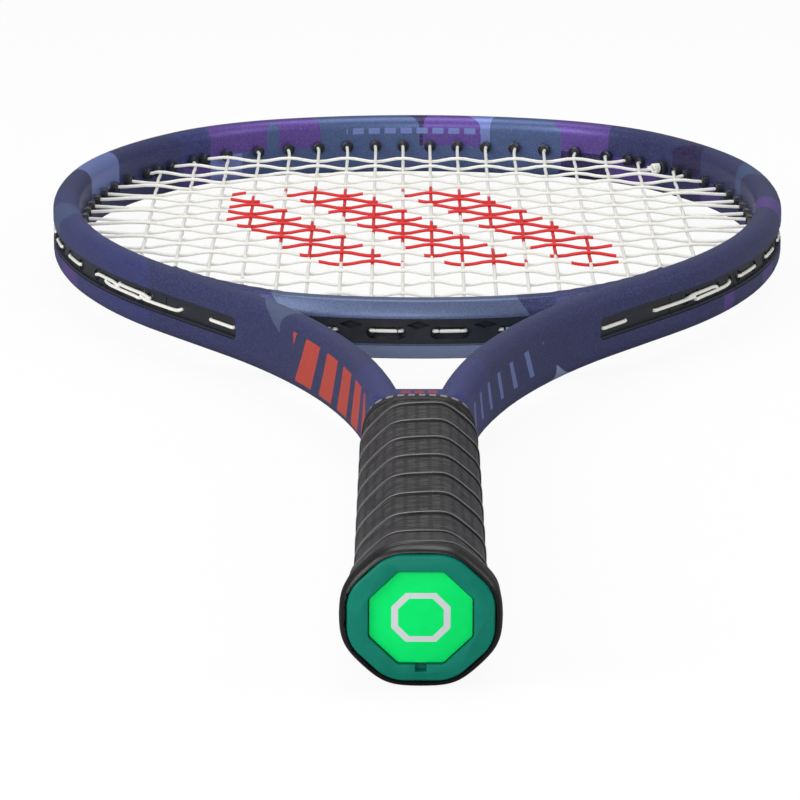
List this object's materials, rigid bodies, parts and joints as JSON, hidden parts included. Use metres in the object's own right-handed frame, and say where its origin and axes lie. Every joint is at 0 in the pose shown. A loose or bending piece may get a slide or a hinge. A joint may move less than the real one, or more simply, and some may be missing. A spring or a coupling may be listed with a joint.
{
  "type": "tennis racket",
  "caption": "Strung tennis racket with a rounded square head, an open throat, a wrapped octagonal grip and a snap-in butt plate.",
  "frame": {"origin": "centre of the butt plate's outer face, on the racket's long axis in the string plane", "axes": "+Y along the racket from the butt to the tip of the head, +Z square to the strings, +X across the head"},
  "size_m": [0.2736, 0.6858, 0.0376],
  "materials": {
    "frame_paint": "satin metallic dark indigo paint over moulded carbon composite",
    "grommet_plastic": "black moulded nylon",
    "string_white": "pale grey-white polyester string",
    "pallet_foam": "moulded polyurethane foam",
    "cap_plastic": "dark green moulded plastic",
    "plate_plastic": "bright green moulded plastic",
    "staple_steel": "bright wire",
    "grip_polyurethane": "black perforated polyurethane strip",
    "tape_vinyl": "black vinyl tape"
  },
  "bodies": {
    "racket": {"bumper_guard": "grommet_plastic", "butt_cap": "cap_plastic", "butt_cap_staples": "staple_steel", "corner_grommet_strip_left": "grommet_plastic", "corner_grommet_strip_right": "grommet_plastic", "cross_string": "string_white", "cross_string_knots": "string_white", "finishing_tape": "tape_vinyl", "frame_tube": "frame_paint", "grip_wrap": "grip_polyurethane", "handle_pallet": "pallet_foam", "lower_grommet_strip_left": "grommet_plastic", "lower_grommet_strip_right": "grommet_plastic", "main_string": "string_white", "main_string_knots": "string_white", "side_grommet_strip_left": "grommet_plastic", "side_grommet_strip_right": "grommet_plastic", "throat_bridge": "frame_paint", "throat_grommet_strip": "grommet_plastic"},
    "butt_plate": {"butt_plate": "plate_plastic"}
  },
  "joints": [
    {"name": "butt_plate_slide", "type": "slide", "parent": "racket", "child": "butt_plate", "axis": [0, -1, 0], "range_m": [0, 0.015]}
  ]
}
